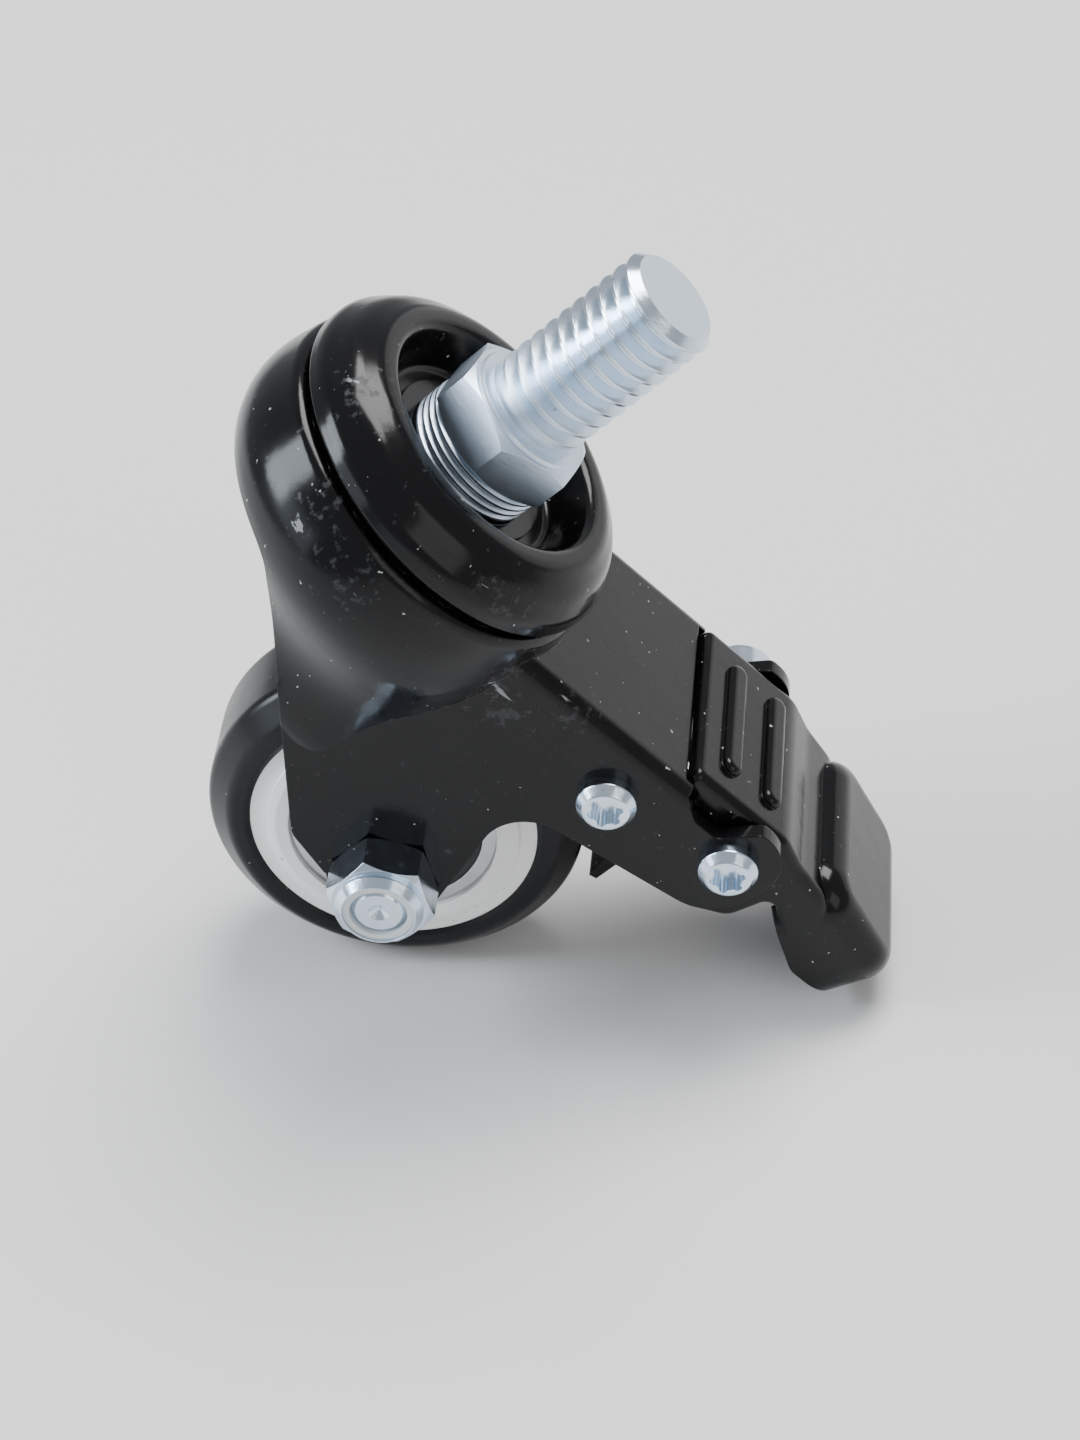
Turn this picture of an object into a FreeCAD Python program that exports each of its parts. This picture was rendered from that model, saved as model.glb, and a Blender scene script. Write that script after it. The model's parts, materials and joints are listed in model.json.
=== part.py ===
import FreeCAD, Part
import math
import os
from FreeCAD import Vector

# Swivel stem caster with a pedal brake, in millimetres.
# Origin: on the swivel axis at the top face of the hexagon, where the stem starts.
# +Z runs up the threaded stem, +X towards the pedal, -Y is the side of the axle nut.

# Threaded stem, 7/16-14 UNC, and its hexagon
STEM_R = 5.556
STEM_LENGTH = 19.05
THREAD_PITCH = 1.8143
THREAD_DEPTH = 1.1
THREAD_CREST = 0.3
THREAD_ROOT = 0.24
THREAD_START = 1.6
RIDGE_COUNT = 9
STEM_CHAMFER = 0.85
NECK_R = 5.05
BASE_RING_HEIGHT = 0.4
HEX_AF = 14.29
HEX_HEIGHT = 5.5
HEX_CHAMFER = 0.8
HEX_TURN = 15.0
SEAT_RING_R = 6.5
COLLAR_R = 7.35
COLLAR_RIDGES = 4
COLLAR_GROOVE = 0.42

# King pin under the hexagon
CAP_FLOOR_TOP = -9.5
CAP_SHEET = 1.3
PIN_SHOULDER_R = 6.5
PIN_R = 5.2
LOWER_RACE_TOP = -17.18
LOWER_RACE_SHEET = 1.4
PEEN_R = 7.6
PEEN_HEIGHT = 1.9
SEAT_WASHER_R = 9.25
SEAT_WASHER_THICKNESS = 0.55

# Top cap
CAP_R = 19.1
CAP_LIP_BOTTOM = -10.95
CAP_LIP_THICKNESS = 1.1
CAP_CREST_TOP = -4.75
CAP_CREST_INNER_R = 12.9
CAP_CREST_OUTER_R = 14.9
CAP_FLOOR_R = 10.9

# Swivel balls
UPPER_BALL_R = 2.38
UPPER_BALL_CIRCLE = 15.03
UPPER_BALL_COUNT = 18
LOWER_BALL_R = 1.65
LOWER_BALL_CIRCLE = 11.4
LOWER_BALL_COUNT = 18
RACE_GAP = 0.04

# Fork
SHEET = 1.8
FORK_HALF_WIDTH = 13.8
FOLD_R = 1.8
BOSS_R = 19.9
BOSS_TOP = -12.0
BOSS_FILLET = 1.3
BOSS_HOLE_R = 8.6
SKIRT_BOTTOM = -21.7
TAIL_TOP = -14.2
TAIL_END_X = 37.0
# Height, radius and rearward shift of the rings that shape the bell
BELL_RINGS = (
    (-12.0, 19.3, 0.0), (-16.0, 19.9, 0.0), (-21.0, 19.6, 0.3),
    (-26.0, 17.4, 2.0), (-32.0, 14.9, 4.5), (-41.0, 11.8, 8.5),
)
# Corners (x, z, radius) of the fork's side outline
LEG_FRONT = ((-11.6, -23.2, 6.0), (14.6, -48.9, 3.2), (20.6, -50.5, 0.0))
LEG_REAR = ((30.97, -44.2, 0.0), (26.7, -28.8, 5.0))
EAR = (
    (52.2, -24.7, 6.0), (52.2, -12.6, 4.6), (46.6, -12.6, 1.0),
    (43.8, -16.5, 1.0), (40.6, -16.5, 1.0), (38.0, -14.9, 0.0),
)
DUST_RING_R = 17.5
DUST_RING_WALL = 0.6
DUST_RING_HEIGHT = 0.7

# Axle and wheel
AXLE_X = 25.0
AXLE_Z = -45.9
LEG_END_R = 6.2
AXLE_R = 3.0
AXLE_HEAD_AF = 10.0
AXLE_HEAD_HEIGHT = 4.0
NUT_AF = 10.0
NUT_HEX_HEIGHT = 4.6
NUT_HEIGHT = 6.0
SLEEVE_R = 4.0
TYRE_R = 20.0
TYRE_HALF_WIDTH = 7.0
TYRE_SHOULDER = 2.6
TYRE_INNER_R = 15.2
CORE_HALF_WIDTH = 6.7
HUB_HALF_WIDTH = 7.7
HUB_R = 13.4
BEARING_R = 11.0
BEARING_WIDTH = 5.0
BEARING_RECESS = 0.5
OUTER_RING_WALL = 1.5
INNER_RING_R = 6.2
BEARING_BALL_R = 1.8
BEARING_BALL_CIRCLE = 7.85
BEARING_BALL_COUNT = 8
BEARING_GAP = 0.03
SHIELD_THICKNESS = 0.4
SPACER_R = 6.2

# Rivets through the fork
FRONT_RIVET = (32.5, -20.9)
PEDAL_RIVET = (47.2, -18.0)
RIVET_R = 2.0
RIVET_RING_R = 3.1
RIVET_RING_HEIGHT = 2.2
RIVET_RECESS_R = 1.45
RIVET_RECESS_DEPTH = 1.3
RIVET_LOBE_R = 0.45
RIVET_HEAD_R = 3.8
RIVET_HEAD_HEIGHT = 4.0
TUBE_R = 2.7

# Brake pedal
PEDAL_SHEET = 1.6
PEDAL_HALF_WIDTH = 11.7
PEDAL_FRONT_X = 37.5
PEDAL_TOP = -13.0
PEDAL_EDGE_R = 1.2
PEDAL_LIP_R = 0.8
PEDAL_HOLE_GAP = 0.05
# Corners (x, z, radius) of the pedal's top line and of its lower edge
PEDAL_TOP_LINE = (
    (37.5, -13.0, 0.0), (50.6, -13.0, 5.0), (54.6, -14.6, 8.0),
    (59.6, -15.7, 6.0), (67.5, -21.4, 0.0),
)
PEDAL_LOW_LINE = (
    (67.5, -25.2, 0.0), (64.2, -25.2, 3.0), (55.4, -19.6, 1.0), (54.2, -24.8, 2.5),
    (49.4, -27.6, 3.0), (44.4, -25.2, 2.0), (38.2, -16.9, 0.5), (39.6, -15.6, 0.4),
    (37.5, -15.0, 0.3),
)
PAD_FRONT_X = 58.2
PAD_TIP_X = 74.2
PAD_TOP = -13.9
PAD_TILT = 17.5
PAD_CORNER_R = 4.6
PAD_EDGE_R = 2.9
PAD_RIM = -25.2
RIB_X = (41.8, 47.7)
RIB_HALF_LENGTH = 7.0
RIB_HALF_WIDTH = 1.25
RIB_HEIGHT = 0.9
SHOE_HALF_WIDTH = 4.0
SPRING_HALF_WIDTH = 4.6
SPRING_SHEET = 0.8

Z_AXIS = Vector(0, 0, 1)
Y_AXIS = Vector(0, 1, 0)


def save(name, shape):
    shape = shape.removeSplitter()
    shape.exportStep(os.path.join("parts", name + ".step"))


def cylinder(radius, z_low, z_high, x=0.0):
    return Part.makeCylinder(radius, z_high - z_low, Vector(x, 0, z_low), Z_AXIS)


def cross_cylinder(radius, y_low, y_high, x, z):
    return Part.makeCylinder(radius, y_high - y_low, Vector(x, y_low, z), Y_AXIS)


def box(x_span, y_span, z_span):
    size = (x_span[1] - x_span[0], y_span[1] - y_span[0], z_span[1] - z_span[0])
    return Part.makeBox(size[0], size[1], size[2], Vector(x_span[0], y_span[0], z_span[0]))


def outline(corners, place):
    """Closed wire through (a, b) or (a, b, radius) corners, set in space by place(a, b)."""
    bends = []
    for i, corner in enumerate(corners):
        point = Vector(corner[0], corner[1], 0)
        radius = corner[2] if len(corner) > 2 else 0
        if not radius:
            bends.append((point, point, point))
            continue
        ahead = corners[(i + 1) % len(corners)]
        back = (Vector(corners[i - 1][0], corners[i - 1][1], 0) - point).normalize()
        forth = (Vector(ahead[0], ahead[1], 0) - point).normalize()
        half = back.getAngle(forth) / 2
        reach = radius / math.tan(half)
        inward = (back + forth).normalize() * (radius / math.sin(half) - radius)
        bends.append((point + back * reach, point + inward, point + forth * reach))
    edges = []
    for i, (start, middle, end) in enumerate(bends):
        if start != end:
            arc = [place(v.x, v.y) for v in (start, middle, end)]
            edges.append(Part.Arc(*arc).toShape())
        following = bends[(i + 1) % len(bends)][0]
        if (following - end).Length > 1e-6:
            edges.append(Part.makeLine(place(end.x, end.y), place(following.x, following.y)))
    return Part.Wire(edges)


def turned(corners):
    """Solid turned about the swivel axis from (radius, z) corners."""
    wire = outline(corners, lambda r, z: Vector(r, 0, z))
    return Part.Face(wire).revolve(Vector(0, 0, 0), Z_AXIS, 360)


def wheel_turned(corners):
    """Solid turned about the axle from (radius, y) corners."""
    wire = outline(corners, lambda r, y: Vector(AXLE_X + r, y, AXLE_Z))
    return Part.Face(wire).revolve(Vector(AXLE_X, 0, AXLE_Z), Y_AXIS, 360)


def side_prism(corners, y_low, y_high):
    """Side outline of (x, z) corners, extruded across the caster."""
    wire = outline(corners, lambda x, z: Vector(x, y_low, z))
    return Part.Face(wire).extrude(Vector(0, y_high - y_low, 0))


def rounded(solid, radius, chosen):
    """Fillets the edges for which chosen(edge) is true."""
    edges = [edge for edge in solid.Edges if chosen(edge)]
    return solid.makeFillet(radius, edges)


def hex_prism(across_flats, z_low, z_high):
    corner = across_flats / math.sqrt(3)
    angles = [math.radians(60 * i + 30) for i in range(7)]
    points = [Vector(corner * math.cos(a), corner * math.sin(a), z_low) for a in angles]
    return Part.Face(Part.makePolygon(points)).extrude(Vector(0, 0, z_high - z_low))


def chamfer_limit(across_flats, z_low, z_high, drop_low, drop_high):
    """Turned envelope that takes the corners off a hexagon's ends."""
    corner = across_flats / math.sqrt(3) + 0.1
    flat = across_flats / 2
    low_r = flat if drop_low else corner
    high_r = flat if drop_high else corner
    points = [(0, z_low), (low_r, z_low), (corner, z_low + drop_low)]
    points += [(corner, z_high - drop_high), (high_r, z_high), (0, z_high)]
    clean = [points[0]]
    for point in points[1:]:
        if point != clean[-1]:
            clean.append(point)
    return turned(clean)


def across_y(shape, y):
    """Turns a shape modelled along +Z so that it points along -Y at the axle."""
    shape.rotate(Vector(0, 0, 0), Vector(1, 0, 0), 90)
    shape.translate(Vector(AXLE_X, y, AXLE_Z))
    return shape


def thread_points():
    """Ridge after ridge of the thread, as (radius, z) corners from the neck upwards."""
    flank = (THREAD_PITCH - THREAD_CREST - THREAD_ROOT) / 2
    root_r = STEM_R - THREAD_DEPTH
    points = [(NECK_R, THREAD_START - flank * (STEM_R - NECK_R) / THREAD_DEPTH)]
    for i in range(RIDGE_COUNT):
        low = THREAD_START + i * THREAD_PITCH
        points += [(STEM_R, low), (STEM_R, low + THREAD_CREST)]
        points.append((root_r, low + THREAD_CREST + flank))
        points.append((root_r, low + THREAD_CREST + flank + THREAD_ROOT))
    points.append((STEM_R, THREAD_START + RIDGE_COUNT * THREAD_PITCH))
    return points


def collar_points():
    """Outline of the ridged collar between the hexagon and the cap."""
    top = -HEX_HEIGHT
    bottom = CAP_FLOOR_TOP + SEAT_WASHER_THICKNESS
    pitch = (top - bottom) / COLLAR_RIDGES
    points = []
    for i in range(COLLAR_RIDGES):
        z = top - i * pitch
        points.append((COLLAR_R - COLLAR_GROOVE, z))
        points.append((COLLAR_R, z - 0.35 * pitch))
        points.append((COLLAR_R, z - 0.65 * pitch))
    points.append((COLLAR_R - COLLAR_GROOVE, bottom))
    return points


def threaded_stem():
    shank = [(0, -0.2), (STEM_R, -0.2), (STEM_R, BASE_RING_HEIGHT), (NECK_R, BASE_RING_HEIGHT)]
    shank += thread_points()
    shank += [(STEM_R, STEM_LENGTH - STEM_CHAMFER), (STEM_R - STEM_CHAMFER, STEM_LENGTH)]
    shank.append((0, STEM_LENGTH))
    stem = turned(shank)
    hexagon = hex_prism(HEX_AF, -HEX_HEIGHT, -0.35)
    hexagon.rotate(Vector(0, 0, 0), Z_AXIS, -HEX_TURN)
    hexagon = hexagon.common(
        chamfer_limit(HEX_AF, -HEX_HEIGHT, -0.35, HEX_CHAMFER, HEX_CHAMFER))
    ring = turned([(0, -0.5), (SEAT_RING_R + 0.3, -0.5), (SEAT_RING_R, 0), (0, 0)])
    floor_bottom = CAP_FLOOR_TOP - CAP_SHEET
    race_bottom = LOWER_RACE_TOP - LOWER_RACE_SHEET
    washer_top = CAP_FLOOR_TOP + SEAT_WASHER_THICKNESS
    pin = [(0, -HEX_HEIGHT)] + collar_points()
    pin += [(PIN_R, washer_top), (PIN_R, floor_bottom), (PIN_SHOULDER_R, floor_bottom)]
    pin += [(PIN_SHOULDER_R, LOWER_RACE_TOP), (PIN_R, LOWER_RACE_TOP), (PIN_R, race_bottom)]
    pin += [(PEEN_R, race_bottom), (PEEN_R - 0.5, race_bottom - PEEN_HEIGHT * 0.6)]
    pin += [(PIN_R - 1, race_bottom - PEEN_HEIGHT), (0, race_bottom - PEEN_HEIGHT)]
    return stem.fuse([hexagon, ring, turned(pin)])


def seat_washer():
    low, high = CAP_FLOOR_TOP, CAP_FLOOR_TOP + SEAT_WASHER_THICKNESS
    return cylinder(SEAT_WASHER_R, low, high).cut(cylinder(PIN_R, low, high))


def top_cap():
    """Pressed cup: rounded skirt, crest ring and sunken floor."""
    under_floor = CAP_FLOOR_TOP - CAP_SHEET
    under_crest = CAP_CREST_TOP - CAP_SHEET
    lip_inner = CAP_R - CAP_LIP_THICKNESS
    return turned([
        (PIN_R, CAP_FLOOR_TOP), (CAP_FLOOR_R, CAP_FLOOR_TOP, 0.8),
        (CAP_CREST_INNER_R, CAP_CREST_TOP, 1.1), (CAP_CREST_OUTER_R, CAP_CREST_TOP, 2.4),
        (CAP_R - 1.8, -6.3, 4.0), (CAP_R, -9.0, 2.4), (CAP_R, CAP_LIP_BOTTOM, 0.3),
        (lip_inner, CAP_LIP_BOTTOM, 0.3), (lip_inner, -9.3, 1.4),
        (CAP_R - 2.6, -7.3, 2.6), (CAP_CREST_OUTER_R - 0.3, under_crest, 1.2),
        (CAP_CREST_INNER_R + 0.9, under_crest, 0.3), (CAP_FLOOR_R + 0.9, under_floor, 1.5),
        (PIN_R, under_floor),
    ])


def lower_race():
    """Dished washer that carries the lower balls."""
    top, sheet = LOWER_RACE_TOP, LOWER_RACE_SHEET
    rim_r = LOWER_BALL_CIRCLE + 3.4
    return turned([
        (PIN_R, top), (LOWER_BALL_CIRCLE + 1.7, top), (rim_r - 0.6, top + 1.4),
        (rim_r, top + 1.1), (rim_r - 1.0, top - sheet), (PIN_R, top - sheet),
    ])


def ball_circle(count, circle_r, ball_r, z):
    balls = []
    for i in range(count):
        angle = 2 * math.pi * i / count
        centre = Vector(circle_r * math.cos(angle), circle_r * math.sin(angle), z)
        balls.append(Part.makeSphere(ball_r, centre))
    return Part.Compound(balls)


def lower_balls():
    z = LOWER_RACE_TOP + LOWER_BALL_R + RACE_GAP
    return ball_circle(LOWER_BALL_COUNT, LOWER_BALL_CIRCLE, LOWER_BALL_R, z)


def upper_balls():
    z = BOSS_TOP + UPPER_BALL_R + RACE_GAP
    return ball_circle(UPPER_BALL_COUNT, UPPER_BALL_CIRCLE, UPPER_BALL_R, z)


def leg_outline(y_half):
    """Side outline of bell, tail and legs, as one slab across the caster."""
    reach = BOSS_R + 3
    corners = [(-reach, BOSS_TOP + 1), (-reach, SKIRT_BOTTOM)]
    corners += list(LEG_FRONT + LEG_REAR + EAR)
    corners += [(TAIL_END_X + 1, TAIL_TOP), (reach, TAIL_TOP), (reach, BOSS_TOP + 1)]
    slab = side_prism(corners, -y_half, y_half)
    return slab.fuse(cross_cylinder(LEG_END_R, -y_half, y_half, AXLE_X, AXLE_Z))


def bell(inset):
    """Round boss whose skirt tapers down and back into the legs."""
    rings = []
    for z, radius, shift in BELL_RINGS:
        circle = Part.makeCircle(radius - inset, Vector(shift, 0, z), Z_AXIS)
        rings.append(Part.Wire(circle))
    body = Part.makeLoft(rings, True, False)
    if inset:
        return body.common(box((-30, 30), (-30, 30), (-60, BOSS_TOP - inset)))
    return rounded(body, BOSS_FILLET, lambda e: abs(e.BoundBox.ZMin - BOSS_TOP) < 0.01)


def folded_strip(inset):
    """Tail plate and legs, with the folds rounded on the outside."""
    half = FORK_HALF_WIDTH - inset
    strip = box((0, 60), (-half, half), (-60, TAIL_TOP - inset))
    if inset:
        return strip
    return rounded(strip, FOLD_R, lambda e: abs(e.BoundBox.ZMin - TAIL_TOP) < 0.01
                   and e.BoundBox.YLength < 0.01)


def ears():
    """Flat plates that stand above the folds and carry the rear rivet."""
    return box((TAIL_END_X + 2, 60), (-FORK_HALF_WIDTH, FORK_HALF_WIDTH), (-30, 0))


def fork():
    skin = bell(0).fuse([folded_strip(0), ears()]).common(leg_outline(BOSS_R + 2))
    inner = bell(SHEET).fuse(folded_strip(SHEET))
    gap_half = FORK_HALF_WIDTH - SHEET
    pedal_gap = box((TAIL_END_X, 60), (-gap_half, gap_half), (-60, 0))
    shell = skin.cut([inner, pedal_gap])
    holes = [cylinder(BOSS_HOLE_R, BOSS_TOP - SHEET - 1, BOSS_TOP + 1)]
    reach = FORK_HALF_WIDTH + 1
    holes.append(cross_cylinder(AXLE_R + 0.05, -reach, reach, AXLE_X, AXLE_Z))
    for x, z in (FRONT_RIVET, PEDAL_RIVET):
        holes.append(cross_cylinder(RIVET_R, -reach, reach, x, z))
    return shell.cut(holes)


def dust_ring():
    low, high = BOSS_TOP, BOSS_TOP + DUST_RING_HEIGHT
    ring = cylinder(DUST_RING_R, low, high)
    return ring.cut(cylinder(DUST_RING_R - DUST_RING_WALL, low, high))


def rivet_crown():
    """Six-lobed hollow left where the rivet's end was rolled over."""
    low = RIVET_RING_HEIGHT - RIVET_RECESS_DEPTH
    hollow = cylinder(RIVET_RECESS_R, low, RIVET_RING_HEIGHT + 1)
    lobes = []
    for i in range(6):
        angle = math.pi * i / 3
        centre = Vector(RIVET_RECESS_R * math.cos(angle), RIVET_RECESS_R * math.sin(angle), low)
        lobes.append(Part.makeCylinder(RIVET_LOBE_R, 3, centre, Z_AXIS))
    return hollow.fuse(lobes)


def rivet(x, z):
    """Shank across the fork, rolled ring on the near end, domed head on the far end."""
    half = FORK_HALF_WIDTH
    ring_r, ring = RIVET_RING_R, RIVET_RING_HEIGHT
    near = turned([
        (0, 0), (ring_r, 0), (ring_r, ring * 0.55, 0.3), (ring_r - 0.8, ring, 0.5), (0, ring),
    ])
    near = near.cut(rivet_crown())
    near.rotate(Vector(0, 0, 0), Vector(1, 0, 0), 90)
    near.translate(Vector(x, -half, z))
    head_r, head = RIVET_HEAD_R, RIVET_HEAD_HEIGHT
    far = turned([
        (0, 0), (head_r, 0), (head_r, head * 0.75, 0.9), (head_r * 0.55, head, 1.5), (0, head),
    ])
    far.rotate(Vector(0, 0, 0), Vector(1, 0, 0), -90)
    far.translate(Vector(x, half, z))
    return cross_cylinder(RIVET_R, -half, half, x, z).fuse([near, far])


def rivet_tube(x, z):
    half = FORK_HALF_WIDTH - SHEET
    tube = cross_cylinder(TUBE_R, -half, half, x, z)
    return tube.cut(cross_cylinder(RIVET_R, -half, half, x, z))


def axle_bolt():
    """Hexagon-head bolt whose head sits on the far leg."""
    length = 2 * FORK_HALF_WIDTH + NUT_HEIGHT - 0.4
    shank = turned([
        (0, -FORK_HALF_WIDTH), (AXLE_R, -FORK_HALF_WIDTH), (AXLE_R, length - FORK_HALF_WIDTH - 0.6),
        (AXLE_R - 0.6, length - FORK_HALF_WIDTH), (1.1, length - FORK_HALF_WIDTH),
        (0, length - FORK_HALF_WIDTH - 0.8),
    ])
    low = -FORK_HALF_WIDTH - AXLE_HEAD_HEIGHT
    head = hex_prism(AXLE_HEAD_AF, low, -FORK_HALF_WIDTH)
    head = head.common(chamfer_limit(AXLE_HEAD_AF, low, -FORK_HALF_WIDTH, 0.5, 0))
    return across_y(shank.fuse(head), 0)


def axle_nut():
    """Lock nut: hexagon with a round collar that holds the insert."""
    base = FORK_HALF_WIDTH
    body = hex_prism(NUT_AF, base, base + NUT_HEX_HEIGHT)
    body = body.common(chamfer_limit(NUT_AF, base, base + NUT_HEX_HEIGHT, 0.5, 0.6))
    collar = turned([
        (0, base + NUT_HEX_HEIGHT - 0.3), (4.6, base + NUT_HEX_HEIGHT - 0.3),
        (4.6, base + NUT_HEIGHT - 0.9), (3.9, base + NUT_HEIGHT), (0, base + NUT_HEIGHT),
    ])
    bore = cylinder(AXLE_R, base, base + NUT_HEIGHT)
    pocket = cylinder(3.75, base + NUT_HEX_HEIGHT - 0.8, base + NUT_HEIGHT)
    return across_y(body.fuse(collar).cut([bore, pocket]), 0)


def nut_insert():
    low, high = FORK_HALF_WIDTH + NUT_HEX_HEIGHT - 0.8, FORK_HALF_WIDTH + NUT_HEIGHT - 0.25
    ring = cylinder(3.75, low, high).cut(cylinder(AXLE_R, low, high))
    return across_y(ring, 0)


def axle_sleeve():
    half = FORK_HALF_WIDTH - SHEET
    tube = cross_cylinder(SLEEVE_R, -half, half, AXLE_X, AXLE_Z)
    return tube.cut(cross_cylinder(AXLE_R, -half, half, AXLE_X, AXLE_Z))


def bearing_spans():
    outer = HUB_HALF_WIDTH - BEARING_RECESS
    return [(-outer, -outer + BEARING_WIDTH), (outer - BEARING_WIDTH, outer)]


def ring_solid(outer_r, inner_r, y_low, y_high):
    ring = cross_cylinder(outer_r, y_low, y_high, AXLE_X, AXLE_Z)
    return ring.cut(cross_cylinder(inner_r, y_low, y_high, AXLE_X, AXLE_Z))


def side_spacers():
    outer = HUB_HALF_WIDTH - BEARING_RECESS
    half = FORK_HALF_WIDTH - SHEET
    spans = [(-half, -outer), (outer, half)]
    return Part.Compound([ring_solid(SPACER_R - 0.4, SLEEVE_R, a, b) for a, b in spans])


def groove(middle_y):
    ring_r = BEARING_BALL_R + BEARING_GAP
    centre = Vector(AXLE_X, middle_y, AXLE_Z)
    return Part.makeTorus(BEARING_BALL_CIRCLE, ring_r, centre, Y_AXIS)


def bearing_rings(outer_r, inner_r):
    rings = []
    for low, high in bearing_spans():
        rings.append(ring_solid(outer_r, inner_r, low, high).cut(groove((low + high) / 2)))
    return Part.Compound(rings)


def bearing_balls():
    balls = []
    for low, high in bearing_spans():
        for i in range(BEARING_BALL_COUNT):
            angle = 2 * math.pi * i / BEARING_BALL_COUNT
            x = AXLE_X + BEARING_BALL_CIRCLE * math.cos(angle)
            z = AXLE_Z + BEARING_BALL_CIRCLE * math.sin(angle)
            balls.append(Part.makeSphere(BEARING_BALL_R, Vector(x, (low + high) / 2, z)))
    return Part.Compound(balls)


def bearing_shields():
    outer_r = BEARING_R - OUTER_RING_WALL
    shields = []
    for low, high in bearing_spans():
        for start in (low + 0.15, high - 0.15 - SHIELD_THICKNESS):
            shields.append(
                ring_solid(outer_r, INNER_RING_R + 0.3, start, start + SHIELD_THICKNESS))
    return Part.Compound(shields)


def wheel_core():
    """Hub with proud inner faces, a stepped ring and a groove that keys the tyre."""
    core = wheel_turned([
        (BEARING_R, -HUB_HALF_WIDTH), (HUB_R - 1.0, -HUB_HALF_WIDTH),
        (HUB_R, -HUB_HALF_WIDTH + 0.3), (HUB_R, -CORE_HALF_WIDTH), (TYRE_INNER_R, -CORE_HALF_WIDTH),
        (TYRE_INNER_R, -2.0), (TYRE_INNER_R - 1.0, -1.4), (TYRE_INNER_R - 1.0, 1.4),
        (TYRE_INNER_R, 2.0), (TYRE_INNER_R, CORE_HALF_WIDTH), (HUB_R, CORE_HALF_WIDTH),
        (HUB_R, HUB_HALF_WIDTH - 0.3), (HUB_R - 1.0, HUB_HALF_WIDTH), (BEARING_R, HUB_HALF_WIDTH),
    ])
    stop = HUB_HALF_WIDTH - BEARING_RECESS - BEARING_WIDTH
    rib = ring_solid(BEARING_R, BEARING_R - 1.5, -stop, stop)
    return core.fuse(rib)


def tyre():
    half, shoulder = TYRE_HALF_WIDTH, TYRE_SHOULDER
    body = wheel_turned([
        (TYRE_INNER_R, -CORE_HALF_WIDTH), (TYRE_INNER_R + 0.6, -half), (TYRE_R - shoulder, -half),
        (TYRE_R, -half + shoulder), (TYRE_R, half - shoulder), (TYRE_R - shoulder, half),
        (TYRE_INNER_R + 0.6, half), (TYRE_INNER_R, CORE_HALF_WIDTH), (TYRE_INNER_R, 2.0),
        (TYRE_INNER_R - 1.0, 1.4), (TYRE_INNER_R - 1.0, -1.4), (TYRE_INNER_R, -2.0),
    ])

    def on_shoulder(edge):
        curve = edge.Curve
        return hasattr(curve, "Radius") and curve.Radius > TYRE_R - shoulder - 0.1

    return rounded(body, 1.6, on_shoulder)


def pedal_base(inset):
    """Flat front, neck and side cheeks; inset gives the hollow inside the sheet."""
    half = PEDAL_HALF_WIDTH - inset
    if inset:
        top = [(x, z - inset) for x, z, radius in PEDAL_TOP_LINE]
        end_x = top[-1][0]
        corners = [(PEDAL_FRONT_X - 5, top[0][1])] + top[1:]
        corners += [(end_x, -40), (PEDAL_FRONT_X - 5, -40)]
        return side_prism(corners, -half, half)
    base = side_prism(PEDAL_TOP_LINE + PEDAL_LOW_LINE, -half, half)
    base = rounded(base, PEDAL_EDGE_R, on_pedal_shoulder)
    return rounded(base, PEDAL_LIP_R, lambda e: e.BoundBox.XMax < PEDAL_FRONT_X + 0.1
                   and e.BoundBox.ZMin > PEDAL_TOP - 1.3)


def on_pedal_shoulder(edge):
    """True for the long edges where the pedal's top meets its cheeks."""
    span = edge.BoundBox
    middle = edge.valueAt((edge.FirstParameter + edge.LastParameter) / 2)
    line_z = PEDAL_TOP
    for (x1, z1, r1), (x2, z2, r2) in zip(PEDAL_TOP_LINE, PEDAL_TOP_LINE[1:]):
        if x1 <= middle.x <= x2:
            line_z = z1 + (z2 - z1) * (middle.x - x1) / (x2 - x1)
    return span.YLength < 0.01 and span.XLength > 0.05 and abs(middle.z - line_z) < 0.7


def pad(inset):
    """Foot pad: a soft-cornered cushion tilted down towards its tip."""
    half = PEDAL_HALF_WIDTH - inset
    block = box((PAD_FRONT_X + inset, PAD_TIP_X - inset), (-half, half), (-45, PAD_TOP - inset))
    block = rounded(block, PAD_CORNER_R - inset, lambda e: e.BoundBox.ZLength > 20)
    block = rounded(block, PAD_EDGE_R - inset, lambda e: e.BoundBox.ZMin > PAD_TOP - inset - 0.01)
    block.rotate(Vector(PAD_FRONT_X + 2, 0, PAD_TOP), Y_AXIS, PAD_TILT)
    return block


def stadium(x, half_width, half_length, z_low, z_high):
    """Upright block with half-round ends, long across the caster."""
    bar = box((x - half_width, x + half_width), (-half_length, half_length), (z_low, z_high))
    ends = []
    for y in (-half_length, half_length):
        ends.append(Part.makeCylinder(half_width, z_high - z_low, Vector(x, y, z_low), Z_AXIS))
    return bar.fuse(ends)


def pad_limit():
    """Everything above the pad's rim and behind the cheeks."""
    return side_prism([
        (PAD_FRONT_X - 2, 0), (PAD_FRONT_X - 2, -20.9), (64.2, PAD_RIM, 3.0), (80, PAD_RIM), (80, 0),
    ], -20, 20)


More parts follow.
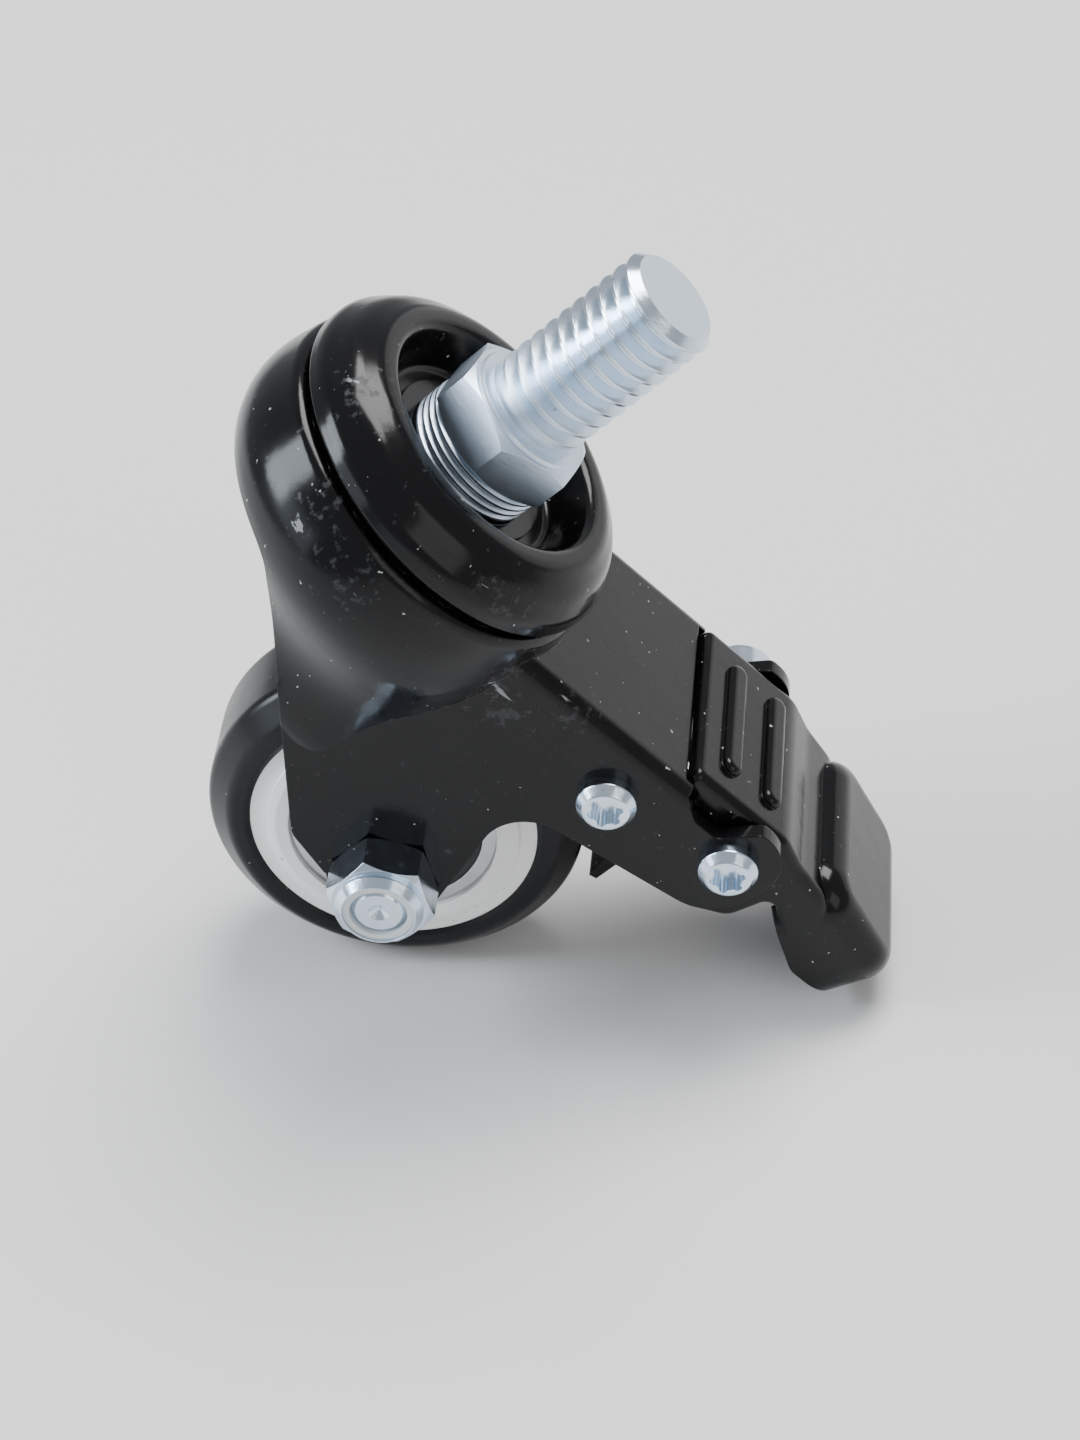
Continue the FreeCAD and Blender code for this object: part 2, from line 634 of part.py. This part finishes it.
def brake_pedal():
    outer = pedal_base(0).fuse(pad(0).common(pad_limit()))
    shell = outer.cut([pedal_base(PEDAL_SHEET), pad(PEDAL_SHEET)])
    ribs = []
    for x in RIB_X:
        rib = stadium(x, RIB_HALF_WIDTH, RIB_HALF_LENGTH, PEDAL_TOP - 0.5, PEDAL_TOP + RIB_HEIGHT)
        top = PEDAL_TOP + RIB_HEIGHT
        ribs.append(rounded(rib.removeSplitter(), 0.75, lambda e: e.BoundBox.ZMin > top - 0.01))
    x, z = PEDAL_RIVET
    hole = cross_cylinder(TUBE_R + PEDAL_HOLE_GAP, -20, 20, x, z)
    return shell.fuse(ribs).cut(hole)


def brake_shoe():
    """Pressed plate between the pedal's cheeks, its toothed end facing the tread."""
    points = [
        (52.4, -23.6), (48.6, -25.0), (44.2, -32.6), (45.1, -37.1), (46.0, -36.9),
        (45.9, -33.4), (49.6, -26.6), (52.4, -25.4),
    ]
    plate = side_prism(points, -SHOE_HALF_WIDTH, SHOE_HALF_WIDTH)
    bar = side_prism([(49.0, -24.6), (52.4, -23.4), (52.4, -25.4), (49.0, -26.3)],
                     -PEDAL_HALF_WIDTH + PEDAL_SHEET, PEDAL_HALF_WIDTH - PEDAL_SHEET)
    return plate.fuse(bar)


def detent_spring():
    """Bent leaf spring hooked round the front rivet, its end near the pedal's bar."""
    x, z = FRONT_RIVET
    half = SPRING_HALF_WIDTH
    hook = cross_cylinder(TUBE_R + SPRING_SHEET, -half, half, x, z)
    arm = side_prism([
        (x, z - TUBE_R - SPRING_SHEET), (x + 6.0, z - 3.2), (x + 14.4, z - 4.2),
        (x + 14.4, z - 3.4), (x + 6.0, z - 2.4), (x, z - TUBE_R),
    ], -half, half)
    return hook.fuse(arm).cut(cross_cylinder(TUBE_R, -half, half, x, z))


def main():
    os.makedirs("parts", exist_ok=True)
    outer_ring_inner_r = BEARING_R - OUTER_RING_WALL
    save("threaded_stem", threaded_stem())
    save("seat_washer", seat_washer())
    save("top_cap", top_cap())
    save("lower_race", lower_race())
    save("upper_balls", upper_balls())
    save("lower_balls", lower_balls())
    save("fork", fork())
    save("dust_ring", dust_ring())
    save("front_rivet", rivet(*FRONT_RIVET))
    save("pedal_rivet", rivet(*PEDAL_RIVET))
    save("front_tube", rivet_tube(*FRONT_RIVET))
    save("pedal_tube", rivet_tube(*PEDAL_RIVET))
    save("detent_spring", detent_spring())
    save("axle_bolt", axle_bolt())
    save("axle_nut", axle_nut())
    save("nut_insert", nut_insert())
    save("axle_sleeve", axle_sleeve())
    save("side_spacers", side_spacers())
    save("bearing_inner_rings", bearing_rings(INNER_RING_R, SLEEVE_R))
    save("bearing_outer_rings", bearing_rings(BEARING_R, outer_ring_inner_r))
    save("bearing_balls", bearing_balls())
    save("bearing_shields", bearing_shields())
    save("wheel_core", wheel_core())
    save("tyre", tyre())
    save("brake_pedal", brake_pedal())
    save("brake_shoe", brake_shoe())


main()
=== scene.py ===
import json
import math

import bpy
from mathutils import Matrix, Vector


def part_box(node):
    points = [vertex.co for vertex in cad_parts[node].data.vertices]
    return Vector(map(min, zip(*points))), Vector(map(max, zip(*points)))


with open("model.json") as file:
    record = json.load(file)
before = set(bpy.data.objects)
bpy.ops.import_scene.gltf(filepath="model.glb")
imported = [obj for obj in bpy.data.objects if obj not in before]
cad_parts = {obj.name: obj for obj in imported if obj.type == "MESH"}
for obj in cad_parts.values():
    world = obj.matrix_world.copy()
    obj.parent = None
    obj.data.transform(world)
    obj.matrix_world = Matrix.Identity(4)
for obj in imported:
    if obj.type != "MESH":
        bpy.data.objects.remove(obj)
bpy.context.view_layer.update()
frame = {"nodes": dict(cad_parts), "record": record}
nodes = frame["nodes"]

# ---------------------------------------------------------------- camera
# Focal length in the frame's own pixels, place in metres, and two image directions.

FRAME_LONG_SIDE = 1440
SENSOR = 36.0
FOCAL_PX = 3233.8
CAMERA_PLACE = (-0.11221, -0.25162, 0.14697)
CAMERA_RIGHT = Vector((0.712, 0.087, 0.697))
CAMERA_DOWN = Vector((0.565, -0.660, -0.495))

# ---------------------------------------------------------------- table plane
# The caster lies on its tread and on the tip of its pedal.

TABLE_SLOPE = math.radians(46.0)
TABLE_HALF = 1.2
TABLE_CLEARANCE = 0.0001


def vector_box(node):
    low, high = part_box(node)
    return Vector(low), Vector(high)


def centre(node):
    low, high = vector_box(node)
    return (low + high) / 2


AXLE = centre("axle_sleeve")
TYRE_R = (vector_box("tyre")[1] - vector_box("tyre")[0]).z / 2


# ---------------------------------------------------------------- materials

# Radius (metres) that softens edges on paint and plastic, and on metal
EDGE_SOFTNESS = 0.00025
METAL_EDGE_SOFTNESS = 0.00007
EDGE_SAMPLES = 6

PAINT_SPECULAR = 0.24
SCRATCH_GAIN = 0.17
RUB_GAIN = 0.19

# Centre and reach of the satin finish on the stem's hexagon (metres)
HEXAGON_SATIN = ((0.0, 0.0, -0.003), 0.014)

# Places (metres) and reach of the wear on the black paint
PAINT_WEAR = (
    ((0.0175, -0.0138, -0.0203), 0.0055),
    ((0.0130, -0.0138, -0.0170), 0.0045),
    ((0.0230, -0.0135, -0.0160), 0.0040),
    ((-0.0110, -0.0145, -0.0150), 0.0060),
    ((-0.0060, -0.0175, -0.0165), 0.0055),
    ((-0.0145, -0.0075, -0.0065), 0.0050),
    ((0.0060, -0.0180, -0.0080), 0.0050),
)


def new_material(name):
    material = bpy.data.materials.new(name)
    material.use_nodes = True
    tree = material.node_tree
    return material, tree, tree.nodes["Principled BSDF"]


def add(tree, kind, **values):
    node = tree.nodes.new(kind)
    for key, value in values.items():
        if key in node.inputs:
            node.inputs[key].default_value = value
        else:
            setattr(node, key, value)
    return node


def coords(tree):
    return tree.nodes.new("ShaderNodeTexCoord").outputs["Object"]


def noise(tree, scale, detail=4.0, rough=0.55, stretch=None):
    node = add(tree, "ShaderNodeTexNoise", Scale=scale, Detail=detail, Roughness=rough)
    source = coords(tree)
    if stretch:
        mapping = add(tree, "ShaderNodeMapping")
        mapping.inputs["Scale"].default_value = stretch
        tree.links.new(source, mapping.inputs["Vector"])
        source = mapping.outputs["Vector"]
    tree.links.new(source, node.inputs["Vector"])
    return node.outputs["Fac"]


def ramp(tree, value, stops):
    node = tree.nodes.new("ShaderNodeValToRGB")
    elements = node.color_ramp.elements
    while len(elements) < len(stops):
        elements.new(0.5)
    for element, (place, colour) in zip(elements, stops):
        element.position = place
        element.color = colour if len(colour) == 4 else (*colour, 1)
    tree.links.new(value, node.inputs["Fac"])
    return node.outputs["Color"]


def grey(value):
    return (value, value, value)


def mix(tree, factor, first, second):
    node = add(tree, "ShaderNodeMix", data_type="RGBA")
    for socket, value in ((6, first), (7, second)):
        if hasattr(value, "is_output"):
            tree.links.new(value, node.inputs[socket])
        else:
            node.inputs[socket].default_value = (*value, 1)
    tree.links.new(factor, node.inputs[0])
    return node.outputs[2]


def fade(tree, place, radius):
    """1 at a place on the caster, falling to 0 at the radius around it (metres)."""
    distance = add(tree, "ShaderNodeVectorMath", operation="DISTANCE")
    tree.links.new(coords(tree), distance.inputs[0])
    distance.inputs[1].default_value = place
    ranged = tree.nodes.new("ShaderNodeMapRange")
    ranged.inputs["From Max"].default_value = radius
    ranged.inputs["To Min"].default_value = 1.0
    ranged.inputs["To Max"].default_value = 0.0
    tree.links.new(distance.outputs["Value"], ranged.inputs["Value"])
    return ranged.outputs["Result"]


def maths(tree, operation, first, second):
    node = add(tree, "ShaderNodeMath", operation=operation)
    for socket, value in enumerate((first, second)):
        if hasattr(value, "is_output"):
            tree.links.new(value, node.inputs[socket])
        else:
            node.inputs[socket].default_value = value
    return node.outputs[0]


def worn_places(tree, places):
    """Largest of the fades around several places."""
    total = fade(tree, *places[0])
    for place in places[1:]:
        total = maths(tree, "MAXIMUM", total, fade(tree, *place))
    return total


def bump(tree, shader, height, distance, strength=1.0, edge=EDGE_SOFTNESS):
    """Surface relief on edges that are softened by the edge radius."""
    soft = add(tree, "ShaderNodeBevel", Radius=edge)
    soft.samples = EDGE_SAMPLES
    node = add(tree, "ShaderNodeBump", Distance=distance, Strength=strength)
    tree.links.new(height, node.inputs["Height"])
    tree.links.new(soft.outputs["Normal"], node.inputs["Normal"])
    tree.links.new(node.outputs["Normal"], shader.inputs["Normal"])


def black_paint():
    """Dipped gloss black with orange peel, dust, fold scratches and rubbed patches."""
    material, tree, shader = new_material("black_paint")
    dust = ramp(tree, noise(tree, 1500, 1, 0.5), [(0.775, grey(0)), (0.795, grey(1))])
    wipes = ramp(tree, noise(tree, 60, 5, 0.6), [(0.5, grey(0)), (0.75, grey(1))])
    worn = worn_places(tree, PAINT_WEAR)
    streak = noise(tree, 420, 4, 0.65, (0.25, 1.0, 1.4))
    cuts = ramp(tree, maths(tree, "ADD", streak, maths(tree, "MULTIPLY", worn, SCRATCH_GAIN)),
                [(0.735, grey(0)), (0.765, grey(1))])
    rub = ramp(tree, maths(tree, "ADD", noise(tree, 900, 3, 0.6),
                           maths(tree, "MULTIPLY", worn, RUB_GAIN)),
               [(0.66, grey(0)), (0.78, grey(1))])
    base = mix(tree, wipes, (0.0028, 0.0028, 0.0032), (0.0048, 0.0048, 0.0055))
    rubbed = mix(tree, rub, base, (0.028, 0.029, 0.032))
    scuffed = mix(tree, cuts, rubbed, (0.22, 0.225, 0.23))
    colour = mix(tree, dust, scuffed, (0.34, 0.34, 0.32))
    tree.links.new(colour, shader.inputs["Base Color"])
    rough = mix(tree, wipes, grey(0.15), grey(0.27))
    rough = mix(tree, rub, rough, grey(0.42))
    rough = mix(tree, dust, rough, grey(0.7))
    tree.links.new(rough, shader.inputs["Roughness"])
    shader.inputs["Specular IOR Level"].default_value = PAINT_SPECULAR
    bump(tree, shader, noise(tree, 240, 3, 0.5), 0.00012, 0.35)
    return material


def zinc():
    """Bright blue-white zinc plate with fine turning marks and passivation tint."""
    material, tree, shader = new_material("zinc")
    cloud = noise(tree, 160, 4, 0.6)
    tint = mix(tree, cloud, (0.52, 0.66, 0.83), (0.78, 0.85, 0.91))
    spots = ramp(tree, noise(tree, 900, 3, 0.6), [(0.66, grey(0)), (0.78, grey(1))])
    colour = mix(tree, spots, tint, (0.36, 0.40, 0.46))
    tree.links.new(colour, shader.inputs["Base Color"])
    shader.inputs["Metallic"].default_value = 1.0
    rough = ramp(tree, noise(tree, 400, 4, 0.6), [(0.3, grey(0.14)), (0.75, grey(0.26))])
    rough = mix(tree, fade(tree, *HEXAGON_SATIN), rough, grey(0.62))
    tree.links.new(rough, shader.inputs["Roughness"])
    relief = noise(tree, 1300, 3, 0.5, (1, 1, 2.2))
    bump(tree, shader, relief, 0.00005, 0.3, METAL_EDGE_SOFTNESS)
    return material


def steel(name, colour, rough_low, rough_high):
    material, tree, shader = new_material(name)
    cloud = noise(tree, 300, 4, 0.6)
    tree.links.new(mix(tree, cloud, colour, tuple(0.6 * c for c in colour)),
                   shader.inputs["Base Color"])
    shader.inputs["Metallic"].default_value = 1.0
    rough = ramp(tree, noise(tree, 500, 3, 0.5), [(0.3, grey(rough_low)), (0.7, grey(rough_high))])
    tree.links.new(rough, shader.inputs["Roughness"])
    bump(tree, shader, noise(tree, 900, 2, 0.5), 0.00003, 0.3)
    return material


def plastic(name, colour, dark, rough, speck):
    material, tree, shader = new_material(name)
    cloud = noise(tree, 120, 4, 0.6)
    specks = ramp(tree, noise(tree, 1100, 2, 0.5), [(0.73, grey(0)), (0.77, grey(1))])
    body = mix(tree, cloud, colour, dark)
    tree.links.new(mix(tree, specks, body, speck), shader.inputs["Base Color"])
    shade = ramp(tree, noise(tree, 260, 3, 0.5), [(0.3, grey(rough)), (0.75, grey(rough + 0.15))])
    tree.links.new(shade, shader.inputs["Roughness"])
    bump(tree, shader, noise(tree, 700, 2, 0.5), 0.00004, 0.3)
    return material


def tread():
    """Glossy black polyurethane with faint cloudiness and lint."""
    material, tree, shader = new_material("tread")
    dust = ramp(tree, noise(tree, 1300, 1, 0.5), [(0.77, grey(0)), (0.79, grey(1))])
    body = mix(tree, noise(tree, 60, 4, 0.6), (0.004, 0.004, 0.005), (0.008, 0.008, 0.009))
    tree.links.new(mix(tree, dust, body, (0.2, 0.2, 0.19)), shader.inputs["Base Color"])
    rough = ramp(tree, noise(tree, 90, 4, 0.6), [(0.3, grey(0.18)), (0.75, grey(0.34))])
    tree.links.new(rough, shader.inputs["Roughness"])
    shader.inputs["Specular IOR Level"].default_value = PAINT_SPECULAR
    bump(tree, shader, noise(tree, 260, 2, 0.5), 0.00006, 0.4)
    return material


MATERIALS = {
    "black_paint": black_paint(),
    "zinc": zinc(),
    "raw_steel": steel("raw_steel", (0.50, 0.50, 0.51), 0.28, 0.5),
    "bearing_steel": steel("bearing_steel", (0.72, 0.72, 0.74), 0.12, 0.25),
    "black_plastic": plastic("black_plastic", (0.012, 0.012, 0.013), (0.02, 0.02, 0.021),
                             0.45, (0.1, 0.1, 0.1)),
    "white_plastic": plastic("white_plastic", (0.92, 0.92, 0.91), (0.86, 0.86, 0.85),
                             0.32, (0.5, 0.49, 0.46)),
    "nylon": plastic("nylon", (0.70, 0.74, 0.76), (0.6, 0.64, 0.66), 0.3, (0.3, 0.3, 0.3)),
    "tread": tread(),
}


def dress(node, slot):
    nodes[node].data.materials.clear()
    nodes[node].data.materials.append(MATERIALS[slot])


for part in frame["record"]["subparts"]:
    dress(part["node"], part["material_slot"])


# ---------------------------------------------------------------- stage

LIT_MIDDLE = (0.02, 0, -0.02)
MIRRORED_VIEW = Vector((0.417, 0.746, 0.519))
LOW_LEFT = Vector((-0.746, -0.417, -0.47))
WHITE = (1, 1, 1)
WINDOW_BLUE = (0.84, 0.92, 1.0)
LOW_BLUE = (0.78, 0.89, 1.0)
WARM = (1.0, 0.96, 0.9)
SKY = (0.9, 0.92, 0.95, 1)
SKY_STRENGTH = 0.55

def table_frame():
    """Along-slope, across and up directions of the table, in the row's frame."""
    along = Vector((math.cos(TABLE_SLOPE), 0, math.sin(TABLE_SLOPE)))
    up = Vector((-math.sin(TABLE_SLOPE), 0, math.cos(TABLE_SLOPE)))
    return along, Vector((0, 1, 0)), up


def floor_material():
    """Plain pale surface, seen only from the side that carries the caster."""
    material, tree, shader = new_material("floor")
    shader.inputs["Base Color"].default_value = (0.74, 0.73, 0.72, 1)
    shader.inputs["Roughness"].default_value = 0.55
    clear = add(tree, "ShaderNodeBsdfTransparent")
    side = tree.nodes.new("ShaderNodeNewGeometry").outputs["Backfacing"]
    choose = tree.nodes.new("ShaderNodeMixShader")
    tree.links.new(side, choose.inputs[0])
    tree.links.new(shader.outputs[0], choose.inputs[1])
    tree.links.new(clear.outputs[0], choose.inputs[2])
    tree.links.new(choose.outputs[0], tree.nodes["Material Output"].inputs["Surface"])
    return material


def make_floor():
    along, across, up = table_frame()
    touch = AXLE - up * (TYRE_R + TABLE_CLEARANCE)
    corners = [touch + along * a * TABLE_HALF + across * b * TABLE_HALF
               for a, b in ((-1, -1), (1, -1), (1, 1), (-1, 1))]
    mesh = bpy.data.meshes.new("floor")
    mesh.from_pydata(corners, [], [(0, 1, 2, 3)])
    if mesh.polygons[0].normal.dot(up) < 0:
        mesh.flip_normals()
    floor = bpy.data.objects.new("floor", mesh)
    bpy.context.collection.objects.link(floor)
    mesh.materials.append(floor_material())


def area_light(name, place, target, size, power, colour):
    light = bpy.data.lights.new(name, "AREA")
    light.shape = "RECTANGLE"
    light.size, light.size_y = size
    light.energy = power
    light.color = colour
    holder = bpy.data.objects.new(name, light)
    holder.location = place
    holder.rotation_mode = "QUATERNION"
    holder.rotation_quaternion = (Vector(target) - Vector(place)).to_track_quat("-Z", "Y")
    bpy.context.collection.objects.link(holder)


def make_lights():
    """Five softboxes around the caster: place from its middle, size, power and colour."""
    along, across, up = table_frame()
    middle = Vector(LIT_MIDDLE)
    lights = (
        ("ceiling", up * 0.7 + along * 0.1 + across * 0.25, (0.42, 0.42), 8.0, WHITE),
        ("window", up * 0.35 - along * 0.6 - across * 0.1, (0.26, 0.4), 5.0, WINDOW_BLUE),
        ("back", MIRRORED_VIEW * 0.9, (0.8, 0.8), 1.8, WHITE),
        ("low_left", LOW_LEFT * 0.8, (0.5, 0.26), 0.9, LOW_BLUE),
        ("fill", up * 0.4 + along * 0.5 - across * 0.6, (0.5, 0.5), 1.2, WARM),
    )
    for name, offset, size, power, colour in lights:
        area_light(name, middle + offset, middle, size, power, colour)


def make_world():
    world = bpy.data.worlds.new("studio")
    world.use_nodes = True
    background = world.node_tree.nodes["Background"]
    background.inputs["Color"].default_value = SKY
    background.inputs["Strength"].default_value = SKY_STRENGTH
    bpy.context.scene.world = world


def make_camera():
    down = CAMERA_DOWN.normalized()
    right = (CAMERA_RIGHT - CAMERA_RIGHT.dot(down) * down).normalized()
    forward = right.cross(down)
    turn = Matrix((right, -down, -forward)).transposed()
    camera = bpy.data.cameras.new("camera")
    camera.sensor_width = SENSOR
    camera.lens = FOCAL_PX * SENSOR / FRAME_LONG_SIDE
    camera.clip_start = 0.01
    holder = bpy.data.objects.new("camera", camera)
    holder.matrix_world = Matrix.Translation(CAMERA_PLACE) @ turn.to_4x4()
    bpy.context.collection.objects.link(holder)
    bpy.context.scene.camera = holder


make_floor()
make_lights()
make_world()
make_camera()
